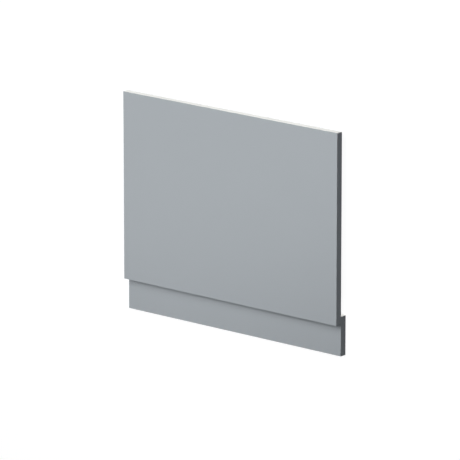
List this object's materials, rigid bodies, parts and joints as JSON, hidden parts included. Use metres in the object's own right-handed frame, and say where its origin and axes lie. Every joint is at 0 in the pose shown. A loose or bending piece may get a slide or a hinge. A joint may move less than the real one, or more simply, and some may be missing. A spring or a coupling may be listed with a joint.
{
  "type": "bath end panel",
  "caption": "Flat bath end panel of foil-faced board with a set-back plinth lapped and screwed behind its lower edge, closing the end of a bath from rim to floor.",
  "frame": {"origin": "middle of the footprint, level with the back of the plinth, with the panel lying on its back", "axes": "+X along the width, +Y from the floor edge towards the edge under the bath rim, +Z out of the show face"},
  "size_m": [0.68, 0.56, 0.036],
  "materials": {
    "grey_foil": "satin",
    "zinc_screw": "satin"
  },
  "bodies": {
    "root": {"face_panel": "grey_foil", "plinth": "grey_foil"}
  },
  "joints": []
}
